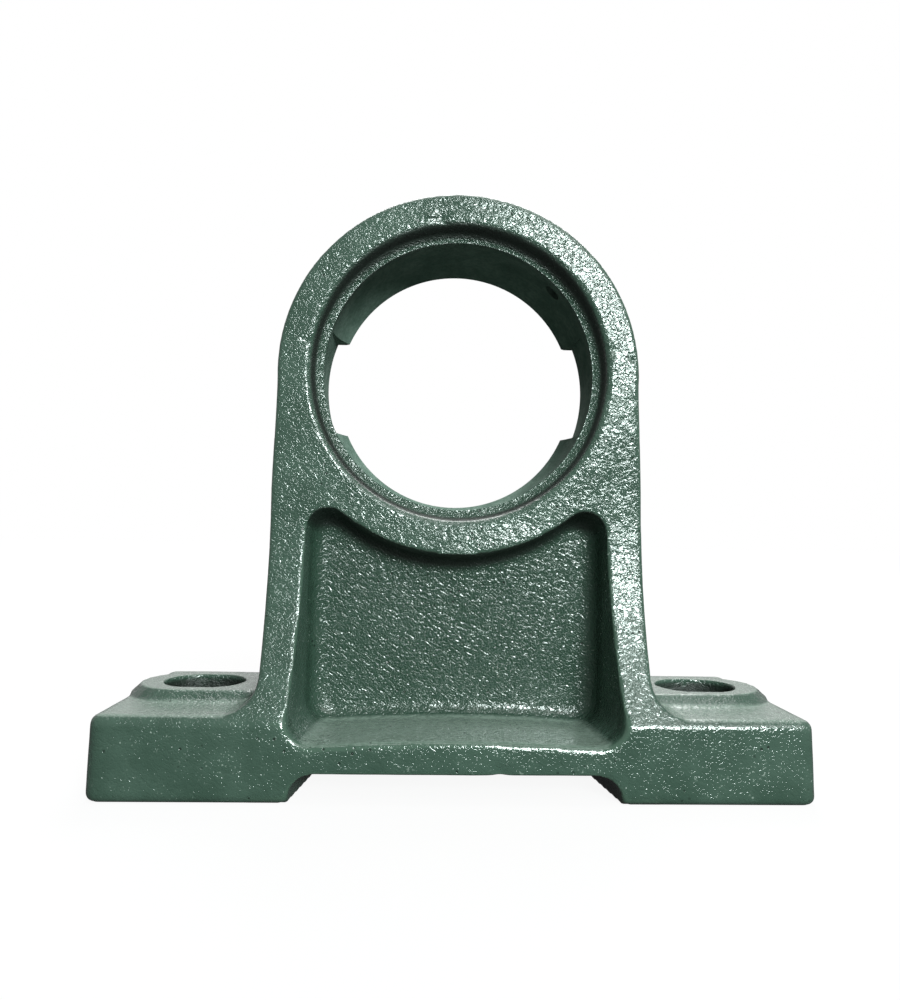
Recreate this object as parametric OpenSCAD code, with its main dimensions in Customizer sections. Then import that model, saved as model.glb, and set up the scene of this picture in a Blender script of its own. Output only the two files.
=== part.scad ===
// High-centre pillow block housing for an insert bearing: one casting with a
// spherical seat, and the headless plug that closes its lubrication hole.
// Millimetres. Origin: middle of the base on the floor. X along the foot,
// Y through the bore (the recessed face looks along -Y), Z up.

/* [Foot] */
// Overall length of the foot
foot_length = 168; // [160:1:180]
// Width of the foot, front to rear
foot_width = 60; // [56:1:68]
// Height of the foot's flat top
foot_height = 19.4; // [17:0.2:22]
// How much the foot's sides lean in between the floor and the top
foot_draft = 0.5; // [0:0.1:1]
// Radius of the foot's upright corners
foot_corner_r = 3.6; // [3:0.2:8]
// Radius of the foot's top edge
foot_edge_r = 2.25; // [1:0.25:3.5]
// Radius of the edge round the machined underside
foot_heel_r = 1.8; // [0.5:0.1:2.5]
// Width of the gap under the foot, measured at its middle
relief_width = 68; // [60:1:74]
// Height of the gap under the foot
relief_height = 6.6; // [4:0.2:8]
// Radius in the upper corners of the gap
relief_corner_r = 5.5; // [2:0.5:6]
// Draft that opens the gap towards the front and the rear, in degrees
relief_draft = 8; // [0:1:10]

/* [Bolt slots] */
// Distance between the middles of the two slots
bolt_spacing = 130; // [126:1:134]
// Width of a slot
slot_width = 17; // [14:0.5:18]
// Length of a slot from end to end
slot_length = 20.5; // [19:0.5:23]
// Height of the pad round a slot above the foot
pad_height = 2.6; // [1.6:0.2:4]
// Wall of the pad beside the slot
pad_wall = 3.8; // [3:0.2:6]
// Wall of the pad beyond the slot's ends
pad_end_wall = 5.8; // [5:0.1:7]
// Radius of the hollow round the pad
pad_fillet_r = 5; // [3.5:0.5:6]

/* [Ring] */
// Height of the bore's centre above the floor
centre_height = 102; // [98:1:110]
// Diameter of the spherical seat, the bearing's outer diameter
seat_d = 72; // [68:0.5:76]
// Wall between the seat and the outside of the ring
ring_wall = 9.6; // [8:0.2:11]
// Width of the ring, front face to rear face
ring_width = 30; // [27:1:34]
// Radius of the ring's outer edges
ring_edge_r = 0.8; // [0.5:0.1:2]
// Chamfer where the seat runs out through the rear face
seat_chamfer = 1; // [0.4:0.1:1.2]
// Diameter of the front recess at its mouth
recess_d = 74.5; // [72:0.5:77]
// Depth of the front recess, from the ring's face to the lip
recess_depth = 4.8; // [3.5:0.2:6]
// Radius of the recess's mouth
recess_mouth_r = 1.3; // [0.5:0.1:1.6]
// Radius between the recess's wall and the lip
recess_fillet_r = 1.8; // [1:0.2:2.2]
// Draft of the recess's wall, in degrees
recess_draft = 5; // [0:1:8]
// Height of the slots that let the bearing in from the rear
entry_height = 26.4; // [23:0.2:30]
// Clearance of those slots round the bearing
entry_clearance = 0.3; // [0.1:0.1:0.6]

/* [Pedestal] */
// How much further out the legs stand than the ring's side
leg_spread = 0.8; // [0.4:0.2:3]
// How far the pedestal's face stops short of the foot's edge
pedestal_step = 1.5; // [1:0.25:4]
// Height at which the pedestal starts to widen below the ring
flare_height = 72; // [66:1:80]
// Radius between the legs and the foot
leg_fillet_r = 8; // [5:0.5:10]
// Radius of the legs' upright edges
leg_edge_r = 1; // [1:0.2:3]

/* [Pockets] */
// Thickness of the web between the front and the rear pocket
web = 11; // [9:0.5:14]
// Wall of a leg beside the pocket, at the ring's face
leg_wall = 9; // [7:0.2:10]
// Height of the bar below the pocket, at its ends
bar_height = 12.9; // [11:0.2:15]
// How much the bar's top rises at the middle
bar_crown = 1.2; // [0:0.2:2]
// Draft of the pocket's walls, in degrees
pocket_draft = 7; // [3:1:10]
// Draft of the bar's top, in degrees
bar_draft = 2; // [0:1:5]
// Metal left outside the ring's own radius in the pocket
ring_skin = 0.3; // [0.1:0.1:1]
// Radius of the pocket's upper corners
lobe_r = 5.3; // [4.5:0.1:6]
// Radius of the pocket's lower corners
sill_r = 6; // [5:0.5:8]
// Radius round the pocket's floor
floor_r = 3.4; // [2:0.2:3.6]

/* [Lubrication hole] */
// Lean of the hole from upright, towards the right
port_angle = 45; // [38:1:55]
// Diameter of the tapped part
port_d = 6; // [5.5:0.5:7]
// Depth of the tapped part
port_depth = 7; // [6.4:0.1:7.4]
// Diameter of the passage into the seat
passage_d = 4.8; // [3:0.2:5]
// Countersink at the hole's mouth
port_chamfer = 0.6; // [0.2:0.1:1]
// Length of the plug
plug_length = 6; // [4:0.5:6]
// How far the plug sits below the ring's surface
plug_sunk = 0.8; // [0.4:0.1:1]
// Clearance of the plug in the hole, all round
plug_clearance = 0.05; // [0.02:0.01:0.1]
// Size across the flats of the plug's socket
socket_af = 3; // [2:0.5:3]
// Depth of the plug's socket
socket_depth = 2.6; // [1.5:0.1:3]
// Chamfer at both ends of the plug
plug_chamfer = 0.4; // [0.2:0.1:0.6]

/* [Hidden] */

// Steps in a quarter turn of a lofted corner, and facets of a full circle
corner_steps = 5;
$fn = 96;
// Overlap that makes a cut pass cleanly through a face
cut = 1;
// Small set-back that keeps two faces from lying in one plane
set_back = 0.1;

foot_half = foot_length / 2;
seat_r = seat_d / 2;
ring_r = seat_r + ring_wall;
ring_half = ring_width / 2;
leg_half = ring_r + leg_spread;
slot_r = slot_width / 2;
slot_straight = slot_length - slot_width;
lip_height = ring_half - recess_depth;
seat_mouth_r = sqrt(seat_r * seat_r - ring_half * ring_half);
entry_r = seat_r + entry_clearance;
leg_top = centre_height - 1;
fillet_top = foot_height + leg_fillet_r;
// Radius of the arc that widens the pedestal from the ring down to the foot
flare_drop = flare_height - foot_height;
flare_out = foot_width / 2 - pedestal_step - ring_half;
flare_r = (flare_drop * flare_drop + flare_out * flare_out) / (2 * flare_out);

// The solid between closed loops of points, each loop one level further up
module loft(loops) {
    n = len(loops[0]);
    last = len(loops) - 1;
    base = [for (i = [0:n - 1]) i];
    lid = [for (i = [n - 1:-1:0]) last * n + i];
    walls = [for (k = [0:last - 1], i = [0:n - 1], half = [0, 1])
        let (a = k * n + i, b = k * n + (i + 1) % n, c = b + n, d = a + n)
        half == 0 ? [a, d, c] : [a, c, b]];
    polyhedron([for (loop = loops) each loop], concat([base], [lid], walls), 4);
}

function arc(centre, r, from, to, steps) =
    [for (i = [0:steps]) let (a = from + (to - from) * i / steps)
        centre + r * [cos(a), sin(a)]];

function at_height(points, z) = [for (p = points) [p[0], p[1], z]];

// Rectangle from x0 to x1 and -half_y to half_y with rounded corners
function round_rect(x0, x1, half_y, r) = concat(
    arc([x1 - r, -half_y + r], r, -90, 0, corner_steps),
    arc([x1 - r, half_y - r], r, 0, 90, corner_steps),
    arc([x0 + r, half_y - r], r, 90, 180, corner_steps),
    arc([x0 + r, -half_y + r], r, 180, 270, corner_steps));

// One level of the foot, its outline moved in by inset
function foot_level(z, inset) = at_height(
    round_rect(-foot_half + inset, foot_half - inset, foot_width / 2 - inset,
               max(foot_corner_r - inset, set_back)), z);

module foot() {
    heel = [for (a = [0:30:90]) foot_level(foot_heel_r * (1 - cos(a)), foot_heel_r * (1 - sin(a)))];
    top = [for (a = [0:18:90]) foot_level(
        foot_height - foot_edge_r * (1 - sin(a)),
        foot_draft + foot_edge_r * (1 - cos(a)))];
    loft(concat([foot_level(-cut, foot_heel_r)], heel, top));
}

// Half the pedestal's width and depth at a height
function leg_reach(z) =
    z >= flare_height ? leg_half + (ring_r - set_back - leg_half)
        * (z - flare_height) / (leg_top - flare_height)
    : z >= fillet_top ? leg_half
    : leg_half + leg_fillet_r - sqrt(pow(leg_fillet_r, 2) - pow(fillet_top - z, 2));
function face_reach(z) = ring_half - set_back / 2
    + (z >= flare_height ? 0 : flare_r - sqrt(pow(flare_r, 2) - pow(flare_height - z, 2)));

module pedestal() {
    // The fillet stops just short of level, where it would only skim the foot
    fillet_end = 80;
    fillet = [for (a = [fillet_end:-16:0]) fillet_top - leg_fillet_r * sin(a)];
    flare = [for (i = [1:6]) fillet_top + (flare_height - fillet_top) * i / 6];
    levels = concat(fillet, flare, [leg_top]);
    root = foot_height - foot_edge_r;
    loft(concat([pedestal_level(root, levels[0])], [for (z = levels) pedestal_level(z, z)]));
}

// The pedestal's outline for the height from, drawn at the height z
function pedestal_level(z, from) = at_height(
    round_rect(-leg_reach(from), leg_reach(from), face_reach(from), leg_edge_r), z);

// Turns a shape whose axis is Z so that it lies along the bore, front at +Z
module along_bore() {
    translate([0, 0, centre_height]) rotate([90, 0, 0]) children();
}

module ring() {
    flat = ring_half - ring_edge_r;
    along_bore() rotate_extrude() {
        translate([0, -ring_half]) square([ring_r - ring_edge_r, ring_width]);
        translate([0, -flat]) square([ring_r, 2 * flat]);
        for (side = [-1, 1]) translate([ring_r - ring_edge_r, side * flat]) circle(ring_edge_r);
    }
}

// The pad round the right bolt slot, from inside the leg out past the slot's end
module pad() {
    pad_top = foot_height + pad_height;
    // The hollow's arc, from near the foot up to just below the pad's edge
    edge = 0.8;
    steep = acos(1 - (pad_height - edge) / pad_fillet_r);
    root = pad_fillet_r * sin(steep) + edge;
    hollow = [for (i = [1:5]) let (a = steep * i / 5)
        pad_level(foot_height + pad_fillet_r * (1 - cos(a)), root - pad_fillet_r * sin(a))];
    loft(concat([pad_level(foot_height - pad_height, root - edge)], hollow,
                [pad_level(pad_top - edge / 4, edge / 4), pad_level(pad_top, 0)]));
}

// One level of the pad, its outline moved out but never past the foot's end
function pad_level(z, out) =
    let (start = ring_r - leg_wall / 2,
         end = min((bolt_spacing + slot_length) / 2 + pad_end_wall + out,
                   foot_half - foot_draft - set_back),
         half_y = slot_r + pad_wall + out,
         r = half_y - set_back,
         tip = [end - r, 0])
    at_height(concat([[start, -half_y], [tip[0], -half_y]],
                     arc(tip, r, -80, 80, 2 * corner_steps),
                     [[tip[0], half_y], [start, half_y]]), z);

// The pocket's outline at a distance forward of the web's face
function pocket_outline(ahead, inset) =
    let (side = leg_half - leg_wall + (ahead - (ring_half - web / 2)) * tan(pocket_draft) - inset,
         r_ring = ring_r + ring_skin + (ring_half - web / 2 - ahead) * tan(pocket_draft) + inset,
         sill = bar_height + (foot_width / 2 - web / 2 - ahead) * tan(bar_draft) + inset,
         lobe = lobe_r - inset,
         corner = sill_r - inset,
         lobe_z = centre_height - sqrt(pow(r_ring + lobe, 2) - pow(side - lobe, 2)),
         turn = atan2(centre_height - lobe_z, lobe - side),
         run = side - corner)
    concat(
        [for (i = [-4:4]) let (x = run * i / 4.5) [x, sill + bar_crown * (1 - pow(x / run, 2))]],
        arc([run, sill + corner], corner, -90, 0, 5),
        arc([side - lobe, lobe_z], lobe, 0, turn, 7),
        arc([0, centre_height], r_ring, turn - 180 - 5, -turn + 5, 12),
        arc([lobe - side, lobe_z], lobe, 180 - turn, 180, 7),
        arc([-run, sill + corner], corner, 180, 270, 5));

module front_pocket() {
    deepest = foot_width / 2 - web / 2 + cut;
    rounding = [for (a = [0:22.5:90]) at_height(
        pocket_outline(floor_r * (1 - cos(a)), floor_r * (1 - sin(a))), web / 2 + floor_r * (1 - cos(a)))];
    rotate([90, 0, 0])
        loft(concat(rounding, [at_height(pocket_outline(deepest, 0), web / 2 + deepest)]));
}

// The gap under the foot, narrowest at the middle of its depth
module relief() {
    half = foot_width / 2 + cut;
    rotate([90, 0, 0]) loft([for (y = [-half, 0, half])
        let (w = relief_width / 2 + abs(y) * tan(relief_draft))
        at_height(round_rect(-w, w, relief_height, relief_corner_r), y)]);
}

// The front recess, from the lip out through the ring's face
module recess() {
    mouth = recess_d / 2;
    floor_wall = mouth - recess_depth * tan(recess_draft);
    along_bore() rotate_extrude() polygon(concat(
        [[0, lip_height]],
        arc([floor_wall - recess_fillet_r, lip_height + recess_fillet_r], recess_fillet_r, -90, 0, 6),
        arc([mouth + recess_mouth_r, ring_half - recess_mouth_r], recess_mouth_r, 180, 90, 6),
        [[mouth + recess_mouth_r, ring_half + cut], [0, ring_half + cut]]));
}

// The spherical seat with its rear chamfer and the two entry slots
module seat() {
    along_bore() {
        sphere(seat_r);
        translate([0, 0, -ring_half - seat_chamfer])
            cylinder(2 * seat_chamfer, seat_mouth_r + 2 * seat_chamfer, seat_mouth_r);
        intersection() {
            translate([0, 0, -ring_half - cut]) cylinder(ring_half + cut, r = entry_r);
            cube([3 * seat_d, entry_height, 2 * ring_width], center = true);
        }
    }
}

module bolt_slot() {
    tall = foot_height + pad_height + 2 * cut;
    for (end = [-1, 1])
        translate([end * slot_straight / 2, 0, -cut]) cylinder(tall, r = slot_r);
    translate([-slot_straight / 2, -slot_r, -cut]) cube([slot_straight, slot_width, tall]);
}

// Places a shape on the lubrication hole's axis, measured from the bore's centre
module on_port_axis() {
    translate([0, 0, centre_height]) rotate([0, port_angle, 0]) children();
}

module port() {
    on_port_axis() {
        translate([0, 0, seat_r - cut]) cylinder(ring_wall, d = passage_d);
        translate([0, 0, ring_r - port_depth]) cylinder(port_depth + cut, d = port_d);
        translate([0, 0, ring_r - port_chamfer])
            cylinder(2 * port_chamfer, d1 = port_d, d2 = port_d + 4 * port_chamfer);
    }
}

module housing_casting() {
    color("#4f6b5b") difference() {
        union() {
            foot();
            pedestal();
            ring();
            for (side = [0, 1]) mirror([side, 0, 0]) pad();
        }
        for (side = [0, 1]) mirror([0, side, 0]) front_pocket();
        relief();
        recess();
        seat();
        for (side = [-1, 1]) translate([side * bolt_spacing / 2, 0, 0]) bolt_slot();
        port();
        translate([-foot_length, -foot_width, -2 * cut]) cube([2 * foot_length, 2 * foot_width, 2 * cut]);
    }
}

module lubrication_plug() {
    r = port_d / 2 - plug_clearance;
    top = ring_r - plug_sunk;
    socket_r = socket_af / 2 / cos(30);
    color("#3a3d3f") on_port_axis() translate([0, 0, top - plug_length]) difference() {
        union() {
            cylinder(plug_chamfer, r - plug_chamfer, r);
            translate([0, 0, plug_chamfer]) cylinder(plug_length - 2 * plug_chamfer, r = r);
            translate([0, 0, plug_length - plug_chamfer]) cylinder(plug_chamfer, r, r - plug_chamfer);
        }
        translate([0, 0, plug_length - socket_depth]) cylinder(socket_depth + cut, r = socket_r, $fn = 6);
    }
}

housing_casting();
lubrication_plug();
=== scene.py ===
"""Looks of a pillow block bearing housing: one sand casting under green enamel, with a bored seat.

The casting's skin is grown from the construction's own solid, softened as sand leaves it, and then
the seat, the entry slots and the lubrication hole are cut back in crisply, as the machinist does.
"""

import math

import bmesh
import bpy
import numpy as np
from mathutils import Matrix, Vector
from mathutils.kdtree import KDTree


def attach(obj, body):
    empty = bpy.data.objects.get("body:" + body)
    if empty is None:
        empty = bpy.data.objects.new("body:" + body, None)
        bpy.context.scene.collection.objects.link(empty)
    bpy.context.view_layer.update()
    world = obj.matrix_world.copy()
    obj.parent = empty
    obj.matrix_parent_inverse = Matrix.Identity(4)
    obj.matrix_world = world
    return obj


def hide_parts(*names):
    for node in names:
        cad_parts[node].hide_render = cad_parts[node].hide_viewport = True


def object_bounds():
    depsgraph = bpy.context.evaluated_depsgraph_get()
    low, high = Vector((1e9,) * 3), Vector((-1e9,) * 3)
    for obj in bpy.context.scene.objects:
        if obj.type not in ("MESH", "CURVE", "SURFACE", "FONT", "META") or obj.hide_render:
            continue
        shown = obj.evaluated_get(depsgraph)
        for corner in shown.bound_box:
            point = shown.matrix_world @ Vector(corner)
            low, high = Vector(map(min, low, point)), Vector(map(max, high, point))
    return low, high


# Sizes that the construction has too, in metres
MM = 0.001
BORE_HEIGHT = 102 * MM
SEAT_R = 36 * MM
RING_R = 45.6 * MM
RING_FACE = -15 * MM
LIP_FACE = -10.2 * MM
REAR_FACE = 15 * MM
REAR_CHAMFER = 1 * MM
ENTRY_R = 36.3 * MM
ENTRY_HALF_HEIGHT = 13.2 * MM
PORT_R = 3 * MM
PORT_DEPTH = 7 * MM
PORT_COUNTERSINK = 0.6 * MM
PASSAGE_R = 2.4 * MM
PORT_ANGLE = math.radians(45)
BOLT_PLACE = 65 * MM
SLOT_R = 8.5 * MM
SLOT_HALF_LENGTH = 10.25 * MM

# The cores that fill the bore and the lubrication hole while the skin is grown
BORE_CORE_R = 36.8 * MM
PORT_CORE_R = 3.7 * MM
PORT_CORE_START = 35.5 * MM
PORT_CORE_END = RING_R - 0.15 * MM
# How far a cutting tool reaches past what it cuts
OVERCUT = 3 * MM

# How finely the casting's skin is made
SKIN_GRAIN = 0.5 * MM
SKIN_TRIANGLES = 182000
SOFTENING_ROUNDS = 2
BLURRING_ROUNDS = 4
SILL_ROUNDS = 18
GAP_END_ROUNDS = 8
# Where the skin is softened further: the pocket's sill and the ends of the gap under the foot
SILL_HALF_LENGTH = 43 * MM
SILL_DEPTH = -25 * MM
GAP_END_PLACE = 41 * MM
# CAD points this close together are one
SAME_POINT = 0.002 * MM
# Skin this close to the floor is the flat, ground base
BASE_SKIN = 0.12 * MM
# Depth of the tool marks on bare metal
TOOL_MARK = 0.02 * MM

# Slots of the casting's materials after the first, which is the enamel
BORED, GROUND = 1, 2

# The camera that took the picture, found from the housing's outlines: mm, radians and pixels
CAMERA_PLACE = (-8.1989, -210.1864, 62.2947)
CAMERA_YAW, CAMERA_PITCH, CAMERA_ROLL = 0.0322, 0.0391, 0.0160
SENSOR_WIDTH = 36
FOCAL_LENGTH_PX = 785.2887
PICTURE_HEIGHT_PX = 1000

# The studio, in metres and strengths
LAMP_AIM = (0, 0, 70 * MM)
FLOOR_HALF = 3.0
FLOOR_GREY = 0.08
FLOOR_GLOW_NEAR, FLOOR_GLOW_FAR = 0.92, 1.0
FLOOR_IN_ENAMEL = 0.05
FILL_STRENGTH = 0.03
FRONT_IN_ENAMEL, REAR_IN_ENAMEL = 0.25, 0.6


# Meshes


def new_object(name, data):
    """A new object in the scene for a mesh, a lamp or a camera."""
    piece = bpy.data.objects.new(name, data)
    bpy.context.scene.collection.objects.link(piece)
    return piece


def with_modifiers_applied(piece, name):
    """A plain object made from a piece as its modifiers shape it; the piece itself goes."""
    graph = bpy.context.evaluated_depsgraph_get()
    mesh = bpy.data.meshes.new_from_object(piece.evaluated_get(graph))
    bpy.data.objects.remove(piece)
    return new_object(name, mesh)


def turned(name, profile, place, steps=192):
    """A closed solid turned about Z from (radius, height) points that start and end on the axis."""
    mesh = bmesh.new()
    rings = []
    for radius, height in profile:
        count = 1 if radius < 1e-9 else steps
        angles = [2 * math.pi * i / steps for i in range(count)]
        points = [(radius * math.cos(a), radius * math.sin(a), height) for a in angles]
        rings.append([mesh.verts.new(point) for point in points])
    for low, high in zip(rings, rings[1:]):
        for i in range(steps):
            j = (i + 1) % steps
            around = [low[i % len(low)], low[j % len(low)], high[j % len(high)], high[i % len(high)]]
            corners = list(dict.fromkeys(around))
            if len(corners) > 2:
                mesh.faces.new(corners)
    return cutter(name, mesh, place)


def rod(name, radius, start, end, place, steps=192):
    """A solid cylinder along a tool's own Z."""
    return turned(name, [(0, start), (radius, start), (radius, end), (0, end)], place, steps)


def cutter(name, mesh, place):
    """The object of a closed solid that leaves a bored face where it cuts."""
    for face in mesh.faces:
        face.material_index = BORED
    bmesh.ops.recalc_face_normals(mesh, faces=mesh.faces)
    mesh.transform(place)
    made = bpy.data.meshes.new(name)
    mesh.to_mesh(made)
    mesh.free()
    return new_object(name, made)


def along_bore():
    """From a tool's own Z to the bore's axis, its +Z towards the rear."""
    return Matrix.Translation((0, 0, BORE_HEIGHT)) @ Matrix.Rotation(math.radians(-90), 4, "X")


def along_port():
    """From a tool's own Z to the lubrication hole's axis, outwards."""
    return Matrix.Translation((0, 0, BORE_HEIGHT)) @ Matrix.Rotation(PORT_ANGLE, 4, "Y")


# Cast skin


def merged_copy(node, name):
    """A closed copy of a CAD node's loose triangles."""
    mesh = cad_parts[node].data.copy()
    welded = bmesh.new()
    welded.from_mesh(mesh)
    bmesh.ops.remove_doubles(welded, verts=welded.verts, dist=SAME_POINT)
    welded.to_mesh(mesh)
    welded.free()
    mesh.materials.clear()
    return new_object(name, mesh)


def casting_before_machining():
    """The casting with its bore, entry slots and lubrication hole still filled."""
    solid = merged_copy("housing_casting", "casting_blank")
    core = rod("bore_core", BORE_CORE_R, LIP_FACE, REAR_FACE, along_bore())
    stem = rod("port_core", PORT_CORE_R, PORT_CORE_START, PORT_CORE_END, along_port(), steps=48)
    together = bmesh.new()
    for part in (solid, core, stem):
        together.from_mesh(part.data)
    together.to_mesh(solid.data)
    together.free()
    for part in (core, stem):
        bpy.data.objects.remove(part)
    skin = solid.modifiers.new("skin", "REMESH")
    skin.mode = "VOXEL"
    skin.voxel_size = SKIN_GRAIN
    return with_modifiers_applied(solid, "casting_skin")


def points_of(mesh):
    co = np.empty(len(mesh.vertices) * 3, np.float32)
    mesh.vertices.foreach_get("co", co)
    return co.reshape(-1, 3).astype(float)


def normals_of(mesh):
    normals = np.empty(len(mesh.vertices) * 3, np.float32)
    mesh.vertex_normals.foreach_get("vector", normals)
    return normals.reshape(-1, 3).astype(float)


def set_points(mesh, points):
    mesh.vertices.foreach_set("co", points.astype(np.float32).ravel())
    mesh.update()


def softened(mesh, points, rounds):
    """Points after each has moved halfway to its neighbours' middle, so many times over."""
    ends = np.empty(len(mesh.edges) * 2, np.int32)
    mesh.edges.foreach_get("vertices", ends)
    a, b = ends[0::2], ends[1::2]
    to, source = np.concatenate([a, b]), np.concatenate([b, a])
    count = np.bincount(to, minlength=len(points)).reshape(-1, 1)
    for _ in range(rounds):
        columns = [np.bincount(to, weights=points[source, k], minlength=len(points)) for k in range(3)]
        points = 0.5 * points + 0.5 * np.stack(columns, axis=1) / count
    return points


def smoothstep(low, high, value):
    t = np.clip((value - low) / (high - low), 0, 1)
    return t * t * (3 - 2 * t)


def band(value, start, full, fading, end):
    """1 from full to fading and 0 before start and after end, all in mm."""
    return smoothstep(start * MM, full * MM, value) * (1 - smoothstep(fading * MM, end * MM, value))


def lattice(i, j, k, seed):
    """A repeatable number from -1 to 1 at each whole-numbered point."""
    n = (i * 374761393 + j * 668265263 + k * 1440662683 + seed * 974634777) & 0xFFFFFFFF
    n = ((n ^ (n >> 13)) * 1274126177) & 0xFFFFFFFF
    return ((n ^ (n >> 16)) & 0xFFFF) / 32767.5 - 1


def lumps(points, size, seed):
    """Smooth random height from -1 to 1 over space, with lumps about that size apart."""
    askew = np.array(Matrix.Rotation(0.9 * seed, 3, Vector((1, 0.7, 0.4))))
    scaled = points @ askew / size + 1000
    base = np.floor(scaled).astype(np.int64)
    t = scaled - base
    t = t * t * (3 - 2 * t)
    total = 0
    for dx in (0, 1):
        for dy in (0, 1):
            for dz in (0, 1):
                share = (
                    (t[:, 0] if dx else 1 - t[:, 0])
                    * (t[:, 1] if dy else 1 - t[:, 1])
                    * (t[:, 2] if dz else 1 - t[:, 2])
                )
                total = total + share * lattice(base[:, 0] + dx, base[:, 1] + dy, base[:, 2] + dz, seed)
    return total


# Dents, pits and nicks of this casting: place in mm, reach and depth in mm
MARKS = [
    ((-5.6, -15, 141.2), 1.3, 0.55),
    ((-3.9, -15, 139.8), 0.9, 0.4),
    ((-38.2, -15, 109.2), 1.2, 0.35),
    ((38.4, -15, 108.6), 0.9, 0.35),
    ((43.8, -15, 106.3), 0.7, 0.35),
    ((10.0, -30, 7.7), 1.6, 0.5),
    ((-34.8, -6, 14.1), 0.7, 0.4),
    ((-52.7, -30, 7.1), 1.0, 0.25),
]
# Pinholes in the ring's face: across, height and reach in mm
PINHOLES = [
    (30.0, 132.1, 0.34),
    (32.1, 130.6, 0.28),
    (32.8, 129.6, 0.26),
    (30.6, 128.8, 0.4),
    (37.3, 120.0, 0.34),
    (40.4, 110.1, 0.4),
    (40.1, 101.5, 0.45),
]
# Raised flash where the mould's halves and core met: ends in mm, reach and height in mm
FLASH = [
    ((37.7, -15, 110.4), (38.5, -15, 106.4), 0.5, 0.3),
    ((-8.4, -15, 141.8), (-6.2, -15, 141.6), 0.6, 0.35),
]


def further_softening(points):
    """The places that are softened more than the rest, each with its rounds."""
    across, depth, height = points.T
    sill = (np.abs(across) < SILL_HALF_LENGTH) & (depth < SILL_DEPTH)
    sill = sill * band(height, 9, 11, 19, 22)
    gap_ends = 1 - smoothstep(5.5 * MM, 7 * MM, np.abs(np.abs(across) - GAP_END_PLACE))
    gap_ends = gap_ends * (1 - smoothstep(1 * MM, 3 * MM, height))
    return (sill, SILL_ROUNDS), (gap_ends, GAP_END_ROUNDS)


def sand_cast(piece):
    """Softens the skin's corners, rolls its faces gently and adds this casting's own marks.

    Returns the skin's points and how far each stood out before the softening, in mm.
    """
    mesh = piece.data
    sharp = points_of(mesh)
    soft = softened(mesh, sharp, SOFTENING_ROUNDS)
    for where, rounds in further_softening(sharp):
        soft += where[:, None] * (softened(mesh, soft, rounds) - soft)
    set_points(mesh, soft)
    normals = normals_of(mesh)
    bulge = np.einsum("ij,ij->i", sharp - softened(mesh, soft, BLURRING_ROUNDS), normals)
    off_floor = smoothstep(0.3 * MM, 3 * MM, soft[:, 2])
    roll = 0.6 * lumps(soft, 11 * MM, 1)
    roll = roll + 0.2 * lumps(soft, 4.6 * MM, 2)
    roll = roll + 0.08 * lumps(soft, 2.1 * MM, 3)
    depth = MM * (0.05 + 0.1 * roll) * off_floor
    moved = soft - normals * depth[:, None]
    for place, reach, deep in MARKS:
        away = np.linalg.norm(soft - np.array(place) * MM, axis=1) / (reach * MM)
        moved -= normals * (deep * MM * np.exp(-away * away) * off_floor)[:, None]
    for start, end, reach, high in FLASH:
        a, b = np.array(start) * MM, np.array(end) * MM
        along = np.clip((soft - a) @ (b - a) / ((b - a) @ (b - a)), 0, 1)[:, None]
        away = np.linalg.norm(soft - a - along * (b - a), axis=1) / (reach * MM)
        moved += normals * (high * MM * np.exp(-away * away))[:, None]
    base = moved[:, 2] < BASE_SKIN
    moved[base, 2] = 0
    moved = np.clip(moved, np.array(cad_box[0]), np.array(cad_box[1]))
    set_points(mesh, moved)
    return moved, bulge / MM


def seat_tool():
    """The ball that the boring bar leaves, run out through the front and the chamfered rear."""
    front = math.asin(LIP_FACE / SEAT_R)
    rear = math.asin((REAR_FACE - REAR_CHAMFER) / SEAT_R)
    arc = [front * (1 - i / 16) for i in range(16)] + [rear * i / 24 for i in range(25)]
    chamfer_r = SEAT_R * math.cos(rear) + REAR_CHAMFER + OVERCUT
    outline = [(0, LIP_FACE - OVERCUT), (SEAT_R * math.cos(front), LIP_FACE - OVERCUT)]
    outline += [(SEAT_R * math.cos(a), SEAT_R * math.sin(a)) for a in arc]
    outline += [(chamfer_r, REAR_FACE + OVERCUT), (0, REAR_FACE + OVERCUT)]
    return turned("seat_tool", outline, along_bore(), steps=180)


def entry_slot_tool():
    """A bar with rounded ends from the seat's middle out through the rear."""
    half = math.asin(ENTRY_HALF_HEIGHT / ENTRY_R)
    right = [half * (1 - i / 10) for i in range(21)]
    angles = [-a for a in right] + [math.pi - a for a in right]
    mesh = bmesh.new()
    outline = [(ENTRY_R * math.cos(a), BORE_HEIGHT + ENTRY_R * math.sin(a)) for a in angles]
    front = [mesh.verts.new((x, 0, z)) for x, z in outline]
    rear = [mesh.verts.new((x, REAR_FACE + OVERCUT, z)) for x, z in outline]
    mesh.faces.new(front)
    mesh.faces.new(rear[::-1])
    for i in range(len(angles)):
        j = (i + 1) % len(angles)
        mesh.faces.new([front[i], rear[i], rear[j], front[j]])
    return cutter("entry_slot_tool", mesh, Matrix.Identity(4))


def drill():
    """The lubrication hole: a passage into the seat, the tapped port and its countersink."""
    outline = [
        (0, SEAT_R - 2 * OVERCUT),
        (PASSAGE_R, SEAT_R - 2 * OVERCUT),
        (PASSAGE_R, RING_R - PORT_DEPTH),
        (PORT_R, RING_R - PORT_DEPTH),
        (PORT_R, RING_R - PORT_COUNTERSINK),
        (PORT_R + 2 * PORT_COUNTERSINK, RING_R + PORT_COUNTERSINK),
        (0, RING_R + PORT_COUNTERSINK),
    ]
    return turned("drill", outline, along_port(), steps=64)


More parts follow.
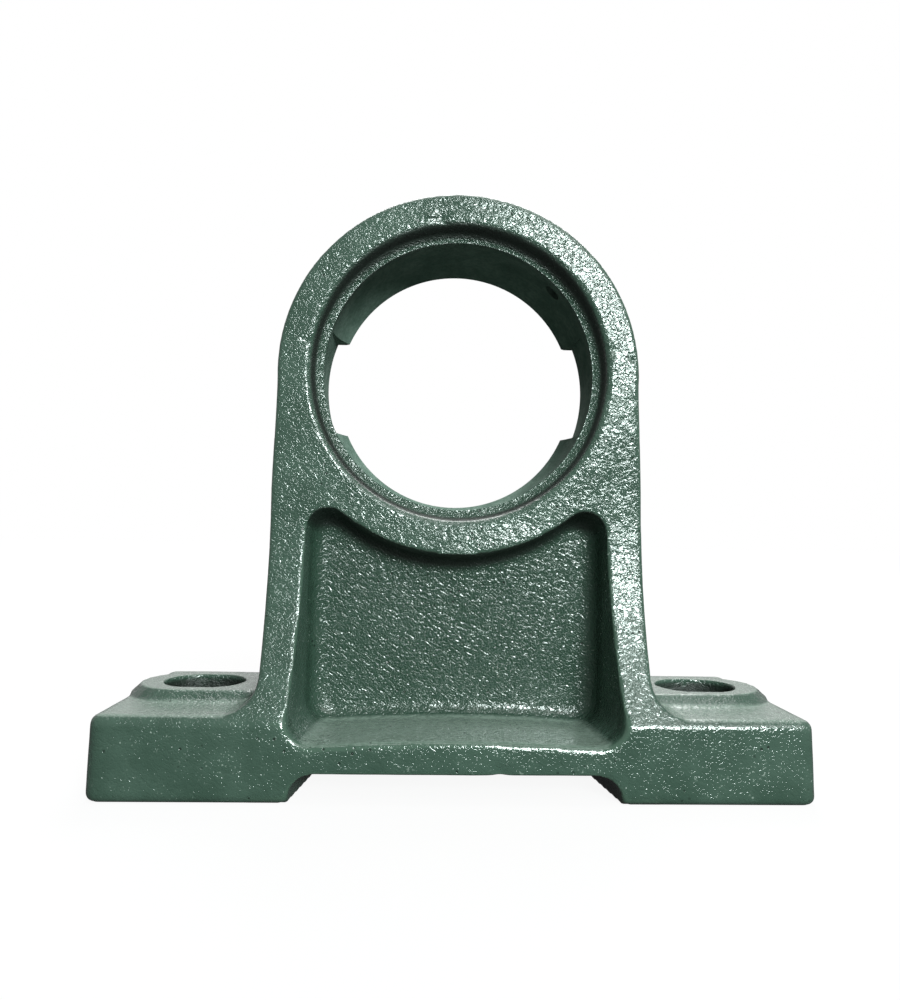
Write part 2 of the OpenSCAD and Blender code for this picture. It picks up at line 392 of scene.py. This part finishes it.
def machined(skin):
    """Cuts the seat, the entry slots and the lubrication hole into the softened skin."""
    tools = [seat_tool(), entry_slot_tool(), drill()]
    for tool in tools:
        cut = skin.modifiers.new("cut", "BOOLEAN")
        cut.operation = "DIFFERENCE"
        cut.solver = "MANIFOLD"
        cut.object = tool
    casting = with_modifiers_applied(skin, "casting")
    for tool in tools:
        bpy.data.objects.remove(tool)
    return casting


def lay_field(mesh, name, values):
    mesh.attributes.new(name, "FLOAT", "POINT").data.foreach_set("value", values.astype(np.float32))


def carried_over(mesh, known_points, known_values):
    """Values known on the fine skin, at a mesh's own points."""
    tree = KDTree(len(known_points))
    for i, p in enumerate(known_points):
        tree.insert(p, i)
    tree.balance()
    return known_values[[tree.find(p)[1] for p in points_of(mesh)]]


def paint_fields(mesh):
    """Where the enamel differs, from 0 to 1 at each point of the casting.

    lip: the speckled lip in front of the seat. web: the pocket's web, with a stronger relief and
    painted shade. What faces up is paler with dust and a painted sheen; the recess wall, the bolt
    slots and what faces down are darker with painted shade. smoothed: the calmer front of the foot
    and the bar.
    """
    across, depth, height = points_of(mesh).T
    upright = normals_of(mesh)[:, 2]
    reach = np.hypot(across, height - BORE_HEIGHT)
    lip = band(reach, 32, 33, 36, 37) * (depth < LIP_FACE + 1.2 * MM)
    # The recess wall, the bolt slots and what faces down are darkened with painted shade
    recess_wall = band(reach, 36, 36.8, 37.8, 38.4) * (depth < 0)
    recess_wall = recess_wall * smoothstep(-14.6 * MM, -13 * MM, depth)
    beyond = np.maximum(np.abs(np.abs(across) - BOLT_PLACE) - (SLOT_HALF_LENGTH - SLOT_R), 0)
    in_slot = np.hypot(beyond, depth) < SLOT_R + 0.15 * MM
    in_slot = in_slot * (1 - smoothstep(20.4 * MM, 21.6 * MM, height))
    faces_down_shade = 0.9 * smoothstep(0.1, 0.6, -upright) * (height > 20 * MM)
    web = (np.abs(across) < 40 * MM) & (np.abs(depth) < 12 * MM)
    return {
        "lip": lip,
        "web": web * (1 - smoothstep(58 * MM, 66 * MM, height)),
        # Pale dust and a painted sheen on what faces up
        "dust_and_sheen": smoothstep(0.8, 0.98, upright),
        # Painted shade: recess wall, bolt slots and downward faces
        "painted_shade": np.maximum(faces_down_shade, np.maximum(recess_wall, in_slot)),
        "smoothed": smoothstep(-26 * MM, -29 * MM, depth) * (1 - smoothstep(16 * MM, 24 * MM, height)),
    }


def make_casting(materials):
    """The whole casting; the materials are the enamel, the bored seat's and the ground base's."""
    skin = casting_before_machining()
    points, bulge = sand_cast(skin)
    total = sum(len(p.vertices) - 2 for p in skin.data.polygons)
    thin = skin.modifiers.new("thin", "DECIMATE")
    thin.ratio = min(1, SKIN_TRIANGLES / total)
    skin = with_modifiers_applied(skin, "casting_thinned")
    for material in materials:
        skin.data.materials.append(material)
    casting = machined(skin)
    mesh = casting.data
    while len(mesh.materials) > len(materials):
        mesh.materials.pop()
    for face in mesh.polygons:
        if face.normal.z < -0.9 and face.center.z < 0.05 * MM:
            face.material_index = GROUND
    mesh.shade_smooth()
    mesh.set_sharp_from_angle(angle=math.radians(38))
    lay_field(mesh, "bulge", carried_over(mesh, points, bulge))
    for name, values in paint_fields(mesh).items():
        lay_field(mesh, name, values)
    return casting


# Materials


def add(tree, kind, **settings):
    """A new shader node with its settings, and its inputs as values or as sockets to link."""
    made = tree.nodes.new(kind)
    inputs = settings.pop("inputs", {})
    for key, value in settings.items():
        setattr(made, key, value)
    for name, value in inputs.items():
        if isinstance(value, bpy.types.NodeSocket):
            tree.links.new(value, made.inputs[name])
        else:
            made.inputs[name].default_value = value
    return made


def sums(tree, operation, a, b=0.0, c=0.0):
    """A Math node's result."""
    return add(tree, "ShaderNodeMath", operation=operation, inputs={0: a, 1: b, 2: c}).outputs[0]


def times(tree, a, b):
    return sums(tree, "MULTIPLY", a, b)


def most(tree, *masks):
    """The greatest of several masks."""
    greatest = masks[0]
    for mask in masks[1:]:
        greatest = sums(tree, "MAXIMUM", greatest, mask)
    return greatest


def layered(tree, value, layers):
    """A value with each layer's mask times its amount added."""
    for mask, amount in layers:
        value = sums(tree, "MULTIPLY_ADD", mask, amount, value)
    return value


def attribute(tree, name):
    return add(tree, "ShaderNodeAttribute", attribute_name=name).outputs["Fac"]


def ramp(tree, value, low, high, start=0.0, end=1.0):
    """Value between low and high, eased and spread from start to end."""
    eased = add(
        tree,
        "ShaderNodeMapRange",
        interpolation_type="SMOOTHSTEP",
        inputs={"Value": value, "From Min": low, "From Max": high, "To Min": start, "To Max": end},
    )
    return eased.outputs["Result"]


def blend_colours(tree, share, a, b):
    """Colour a where share is 0 and colour b where it is 1."""
    mix = add(tree, "ShaderNodeMix", data_type="RGBA", inputs={"Factor": share, 6: a, 7: b})
    return mix.outputs[2]


def srgb(*colour):
    """A colour written as a photograph's 0 to 255 values."""
    linear = [((v / 255 + 0.055) / 1.055) ** 2.4 if v > 10 else v / 255 / 12.92 for v in colour]
    return (*linear, 1.0)


def grey(value):
    return (value, value, value, 1)


def emptied(owner):
    """The node tree of a new material or world, without its first nodes."""
    owner.use_nodes = True
    owner.node_tree.nodes.clear()
    return owner.node_tree


def new_material(name):
    material = bpy.data.materials.new(name)
    tree = emptied(material)
    shader = add(tree, "ShaderNodeBsdfPrincipled")
    add(tree, "ShaderNodeOutputMaterial", inputs={"Surface": shader.outputs["BSDF"]})
    return material, tree, shader


def bumped(tree, shader, height, strength, distance):
    """Gives a shader a relief whose height is in shares of the distance."""
    inputs = {"Height": height, "Strength": strength, "Distance": distance}
    bump = add(tree, "ShaderNodeBump", inputs=inputs)
    tree.links.new(bump.outputs["Normal"], shader.inputs["Normal"])


def group(name, inputs, outputs):
    """A node group with a place, float inputs given as name to value, and the outputs named."""
    tree = bpy.data.node_groups.new(name, "ShaderNodeTree")
    tree.interface.new_socket("Place", in_out="INPUT", socket_type="NodeSocketVector")
    for label, value in inputs.items():
        given = tree.interface.new_socket(label, in_out="INPUT", socket_type="NodeSocketFloat")
        given.default_value = value
    for label in outputs:
        tree.interface.new_socket(label, in_out="OUTPUT", socket_type="NodeSocketFloat")
    return tree, tree.nodes.new("NodeGroupInput").outputs, tree.nodes.new("NodeGroupOutput").inputs


def noise(tree, place, size, detail=1.0, roughness=0.5):
    """Noise from 0 to 1 whose features are about size metres across."""
    scale = sums(tree, "DIVIDE", 1.0, size) if isinstance(size, bpy.types.NodeSocket) else 1.0 / size
    inputs = {"Vector": place, "Scale": scale, "Detail": detail, "Roughness": roughness}
    return add(tree, "ShaderNodeTexNoise", inputs=inputs).outputs["Fac"]


def mottling_group():
    """Blotches: a mask with soft patches and a finer grain inside them."""
    sizes = {"Patch Size": 8 * MM, "Grain Size": 1 * MM}
    tree, given, result = group("mottling", sizes, ["Patches", "Grain"])
    patches = noise(tree, given["Place"], given["Patch Size"], detail=3.0, roughness=0.6)
    grain = noise(tree, given["Place"], given["Grain Size"], detail=3.0, roughness=0.65)
    tree.links.new(ramp(tree, patches, 0.3, 0.7), result["Patches"])
    tree.links.new(ramp(tree, grain, 0.25, 0.75), result["Grain"])
    return tree


def mottled(tree, mottling, place, patch_size, grain_size):
    """The mottling group's masks at a place, with sizes of its own."""
    made = add(tree, "ShaderNodeGroup", node_tree=mottling)
    tree.links.new(place, made.inputs["Place"])
    made.inputs["Patch Size"].default_value = patch_size
    made.inputs["Grain Size"].default_value = grain_size
    return made.outputs


def object_place(tree):
    return add(tree, "ShaderNodeTexCoord").outputs["Object"]


def leaned(tree, place, degrees, stretch):
    """A place turned in the front plane and drawn out along the turned axis."""
    inputs = {"Vector": place, "Rotation": (0, math.radians(degrees), 0), "Scale": (stretch, 1, 1)}
    return add(tree, "ShaderNodeMapping", vector_type="TEXTURE", inputs=inputs).outputs["Vector"]


def pinholes(tree, place):
    """A mask of this casting's own pinholes."""
    mask = 0.0
    for across, height, reach in PINHOLES:
        middle = (across * MM, RING_FACE, height * MM)
        away = add(tree, "ShaderNodeVectorMath", operation="DISTANCE", inputs={0: place, 1: middle})
        hole = ramp(tree, away.outputs["Value"], reach * MM, 0.5 * reach * MM)
        mask = most(tree, hole, mask)
    return mask


def dust_flecks(tree, place):
    """A mask of small specks that gather in loose crowds."""
    speck = noise(tree, place, 0.7 * MM)
    crowd = noise(tree, place, 6 * MM, detail=2.0)
    return times(tree, ramp(tree, speck, 0.66, 0.74), ramp(tree, crowd, 0.45, 0.65))


def paint_pits(tree, place):
    """A mask of pits that the enamel didn't fill, in loose crowds, and the pinholes."""
    inputs = {"Vector": place, "Scale": 1 / (2.1 * MM), "Randomness": 1.0}
    cell = add(tree, "ShaderNodeTexVoronoi", inputs=inputs)
    crowd = noise(tree, place, 9 * MM, detail=2.0)
    pits = times(tree, ramp(tree, cell.outputs["Distance"], 0.2, 0.08), ramp(tree, crowd, 0.5, 0.66))
    return most(tree, pits, pinholes(tree, place))


def enamel_relief(tree, place, corner, hollow, pits):
    """Height in mm: orange peel with brushed furrows, calmer on corners, ledges and the foot."""
    waves = noise(tree, place, 2.2 * MM)
    speckle = noise(tree, place, 0.5 * MM)
    brushed = [noise(tree, leaned(tree, place, lean, 2.4), 0.8 * MM) for lean in (38, -30)]
    furrows = most(tree, *(ramp(tree, strokes, 0.48, 0.7) for strokes in brushed))
    peel = layered(
        tree,
        times(tree, waves, 0.12),
        [
            (furrows, -0.07),
            (ramp(tree, speckle, 0.48, 0.64), -0.055),
            (times(tree, speckle, hollow), 0.2),
        ],
    )
    calm = sums(tree, "SUBTRACT", 1.0, times(tree, corner, 0.5))
    for name, share in (("dust_and_sheen", 0.5), ("smoothed", 0.5), ("web", 1.2)):
        calm = times(tree, calm, ramp(tree, attribute(tree, name), 0.0, 1.0, 1.0, share))
    lip_grain = times(tree, attribute(tree, "lip"), speckle)
    return layered(tree, times(tree, peel, calm), [(lip_grain, 0.6), (pits, -0.12)])


def green_enamel(mottling):
    """Glossy enamel brushed over sand-cast iron: orange peel, flecks of dust and worn corners,
    with painted shade in hollows, on the web, in recesses and underneath, and a painted sheen on top.
    """
    material, tree, shader = new_material("green_enamel")
    place = object_place(tree)
    blotch = mottled(tree, mottling, place, 12 * MM, 1.2 * MM)
    bulge = attribute(tree, "bulge")
    painted_shade = attribute(tree, "painted_shade")
    corner = ramp(tree, bulge, 0.07, 0.16)
    hollow = ramp(tree, times(tree, bulge, -1.0), 0.03, 0.1)
    flecks = dust_flecks(tree, place)
    pits = paint_pits(tree, place)
    # Upward faces paler: partly dust, partly a painted sheen where light glances off them
    dust_sheen_share = times(tree, attribute(tree, "dust_and_sheen"), ramp(tree, blotch["Grain"], 0.1, 0.9, 0.45, 0.75))

    colour = blend_colours(tree, blotch["Patches"], srgb(59, 82, 70), srgb(71, 94, 82))
    # Painted shade: darker in concave hollows and on the pocket's web
    hollow_shade = (most(tree, hollow, times(tree, attribute(tree, "web"), 0.65)), srgb(42, 66, 53))
    worn = (times(tree, corner, 0.5), srgb(80, 106, 90))
    dusty = (times(tree, flecks, 0.55), srgb(168, 182, 172))
    dusted_sheen = (dust_sheen_share, srgb(150, 168, 156))
    # Painted shade: near black in the recess, in the bolt slots and on what faces down
    shade_paint = (times(tree, painted_shade, 0.95), srgb(8, 20, 13))
    pitted = (times(tree, pits, 0.8), srgb(16, 28, 21))
    for share, coat in (hollow_shade, worn, dusty, dusted_sheen, shade_paint, pitted):
        colour = blend_colours(tree, share, colour, coat)
    tree.links.new(colour, shader.inputs["Base Color"])

    bumped(tree, shader, enamel_relief(tree, place, corner, hollow, pits), 1.0, 1 * MM)
    gloss = ramp(tree, blotch["Grain"], 0.0, 1.0, 0.05, 0.08)
    gloss = layered(tree, gloss, [(painted_shade, 0.5), (flecks, 0.25)])
    tree.links.new(gloss, shader.inputs["Roughness"])
    shader.inputs["Specular IOR Level"].default_value = 0.8
    return material


def bored_seat(mottling):
    """The seat as the boring bar left it: fine turning lines under a grey-green film."""
    material, tree, shader = new_material("bored_seat")
    place = object_place(tree)
    stain = mottled(tree, mottling, place, 7 * MM, 0.9 * MM)
    iron = blend_colours(tree, stain["Patches"], srgb(100, 124, 112), srgb(128, 150, 138))
    flecked = blend_colours(tree, times(tree, stain["Grain"], 0.5), iron, srgb(74, 94, 84))
    tree.links.new(flecked, shader.inputs["Base Color"])
    along = add(tree, "ShaderNodeSeparateXYZ", inputs={0: place}).outputs["Y"]
    turning = add(tree, "ShaderNodeCombineXYZ", inputs={0: along}).outputs[0]
    bumped(tree, shader, noise(tree, turning, 0.35 * MM), 0.6, TOOL_MARK)
    tree.links.new(ramp(tree, stain["Grain"], 0.0, 1.0, 0.8, 0.95), shader.inputs["Roughness"])
    shader.inputs["Specular IOR Level"].default_value = 0.1
    return material


def ground_base(mottling):
    """The milled underside: bare grey iron with a cutter's arcs and light rust."""
    material, tree, shader = new_material("ground_base")
    place = object_place(tree)
    stain = mottled(tree, mottling, place, 10 * MM, 1.2 * MM)
    iron = blend_colours(tree, stain["Grain"], srgb(118, 118, 114), srgb(142, 141, 136))
    rusted = blend_colours(tree, times(tree, stain["Patches"], 0.35), iron, srgb(112, 88, 66))
    tree.links.new(rusted, shader.inputs["Base Color"])
    arcs = add(
        tree,
        "ShaderNodeTexWave",
        wave_type="RINGS",
        rings_direction="Z",
        inputs={"Vector": place, "Scale": 160.0, "Distortion": 0.6, "Detail": 1.0},
    )
    bumped(tree, shader, arcs.outputs["Fac"], 0.5, TOOL_MARK)
    tree.links.new(ramp(tree, stain["Grain"], 0.0, 1.0, 0.3, 0.5), shader.inputs["Roughness"])
    shader.inputs["Metallic"].default_value = 0.85
    return material


def blackened_steel(mottling):
    """The plug's black oxide, a little worn and oily."""
    material, tree, shader = new_material("blackened_steel")
    wear = mottled(tree, mottling, object_place(tree), 1.6 * MM, 0.3 * MM)
    tone = blend_colours(tree, wear["Patches"], srgb(44, 46, 48), srgb(70, 72, 72))
    tree.links.new(tone, shader.inputs["Base Color"])
    bumped(tree, shader, wear["Grain"], 0.4, TOOL_MARK)
    tree.links.new(ramp(tree, wear["Patches"], 0.0, 1.0, 0.32, 0.48), shader.inputs["Roughness"])
    shader.inputs["Metallic"].default_value = 0.9
    return material


# Studio


def white_floor():
    """A plain white table that keeps the housing's shadow and looks white to the camera."""
    mesh = bpy.data.meshes.new("floor")
    corners = [(-FLOOR_HALF, -FLOOR_HALF, 0), (FLOOR_HALF, -FLOOR_HALF, 0)]
    corners += [(FLOOR_HALF, FLOOR_HALF, 0), (-FLOOR_HALF, FLOOR_HALF, 0)]
    mesh.from_pydata(corners, [], [(0, 1, 2, 3)])
    floor = new_object("floor", mesh)
    material = bpy.data.materials.new("white_table")
    tree = emptied(material)
    paper = add(tree, "ShaderNodeBsdfDiffuse", inputs={"Color": grey(FLOOR_GREY)})
    away = add(tree, "ShaderNodeVectorMath", operation="LENGTH", inputs={0: object_place(tree)})
    glow = ramp(tree, away.outputs["Value"], 0.15, 0.6, FLOOR_GLOW_NEAR, FLOOR_GLOW_FAR)
    lift = add(tree, "ShaderNodeEmission", inputs={"Color": grey(1), "Strength": glow})
    both = add(tree, "ShaderNodeAddShader", inputs={0: paper.outputs[0], 1: lift.outputs[0]})
    seen = add(tree, "ShaderNodeLightPath").outputs
    by_gloss = times(tree, seen["Is Glossy Ray"], FLOOR_IN_ENAMEL)
    by_eye = most(tree, seen["Is Camera Ray"], by_gloss, seen["Is Transmission Ray"])
    pick = add(tree, "ShaderNodeMixShader", inputs={0: by_eye, 1: paper.outputs[0], 2: both.outputs[0]})
    add(tree, "ShaderNodeOutputMaterial", inputs={"Surface": pick.outputs[0]})
    mesh.materials.append(material)


def white_surroundings():
    """White to the camera, dim as a light, and mirrored darker in front than behind."""
    world = bpy.data.worlds.new("studio")
    bpy.context.scene.world = world
    tree = emptied(world)
    seen = add(tree, "ShaderNodeLightPath").outputs
    by_eye = most(tree, seen["Is Camera Ray"], seen["Is Glossy Ray"], seen["Is Transmission Ray"])
    fill = add(tree, "ShaderNodeBackground", inputs={"Color": grey(1), "Strength": FILL_STRENGTH})
    direction = add(tree, "ShaderNodeTexCoord").outputs["Generated"]
    towards = add(tree, "ShaderNodeSeparateXYZ", inputs={0: direction})
    mirrored = ramp(tree, towards.outputs["Y"], 0.3, 0.9, FRONT_IN_ENAMEL, REAR_IN_ENAMEL)
    shade = most(tree, mirrored, seen["Is Camera Ray"])
    white = add(tree, "ShaderNodeBackground", inputs={"Color": grey(1), "Strength": shade})
    pick = add(tree, "ShaderNodeMixShader", inputs={0: by_eye, 1: fill.outputs[0], 2: white.outputs[0]})
    add(tree, "ShaderNodeOutputWorld", inputs={"Surface": pick.outputs[0]})


def softbox(name, place, size, power):
    """A soft lamp aimed at the middle of the housing."""
    light = bpy.data.lights.new(name, "AREA")
    light.shape = "RECTANGLE"
    light.size, light.size_y = size
    light.energy = power
    lamp = new_object(name, light)
    lamp.location = place
    lamp.rotation_mode = "QUATERNION"
    lamp.rotation_quaternion = (Vector(LAMP_AIM) - Vector(place)).to_track_quat("-Z", "Y")
    return lamp


def photograph_camera():
    """The camera that took the picture."""
    yaw, pitch, roll = CAMERA_YAW, CAMERA_PITCH, CAMERA_ROLL
    ahead = Vector((math.sin(yaw) * math.cos(pitch), math.cos(yaw) * math.cos(pitch), math.sin(pitch)))
    level = Vector((math.cos(yaw), -math.sin(yaw), 0))
    upright = level.cross(ahead)
    right = math.cos(roll) * level + math.sin(roll) * upright
    up = math.cos(roll) * upright - math.sin(roll) * level
    data = bpy.data.cameras.new("camera")
    data.sensor_width = SENSOR_WIDTH
    data.lens = FOCAL_LENGTH_PX * SENSOR_WIDTH / PICTURE_HEIGHT_PX
    data.clip_start, data.clip_end = 0.01, 20
    camera = new_object("camera", data)
    turn = Matrix((right, up, -ahead)).transposed().to_4x4()
    camera.matrix_world = Matrix.Translation(Vector(CAMERA_PLACE) * MM) @ turn
    bpy.context.scene.camera = camera


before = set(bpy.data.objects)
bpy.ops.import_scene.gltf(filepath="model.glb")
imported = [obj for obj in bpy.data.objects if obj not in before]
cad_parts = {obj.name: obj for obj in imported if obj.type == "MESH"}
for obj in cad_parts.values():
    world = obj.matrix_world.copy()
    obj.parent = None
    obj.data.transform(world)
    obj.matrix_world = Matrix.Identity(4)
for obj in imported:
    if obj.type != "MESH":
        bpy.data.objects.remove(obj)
cad_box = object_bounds()

mottling = mottling_group()
casting = make_casting([green_enamel(mottling), bored_seat(mottling), ground_base(mottling)])
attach(casting, "root")
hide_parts("housing_casting")

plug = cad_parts["lubrication_plug"]
plug.material_slots[0].material = blackened_steel(mottling)

bpy.context.scene.view_settings.view_transform = "Standard"
white_floor()
white_surroundings()
window = softbox("window", (0.28, -0.92, 0.395), (0.36, 0.26), 10.4)
window.data.color = (0.88, 1.0, 0.97)
softbox("skylight", (0.45, -0.80, 0.80), (0.7, 0.7), 4.2)
softbox("ceiling", (0.15, 0.10, 1.15), (0.9, 0.9), 5.0)
softbox("rear wall", (0.10, 0.90, 0.95), (0.8, 0.8), 9.0).visible_camera = False
photograph_camera()

bpy.context.view_layer.update()
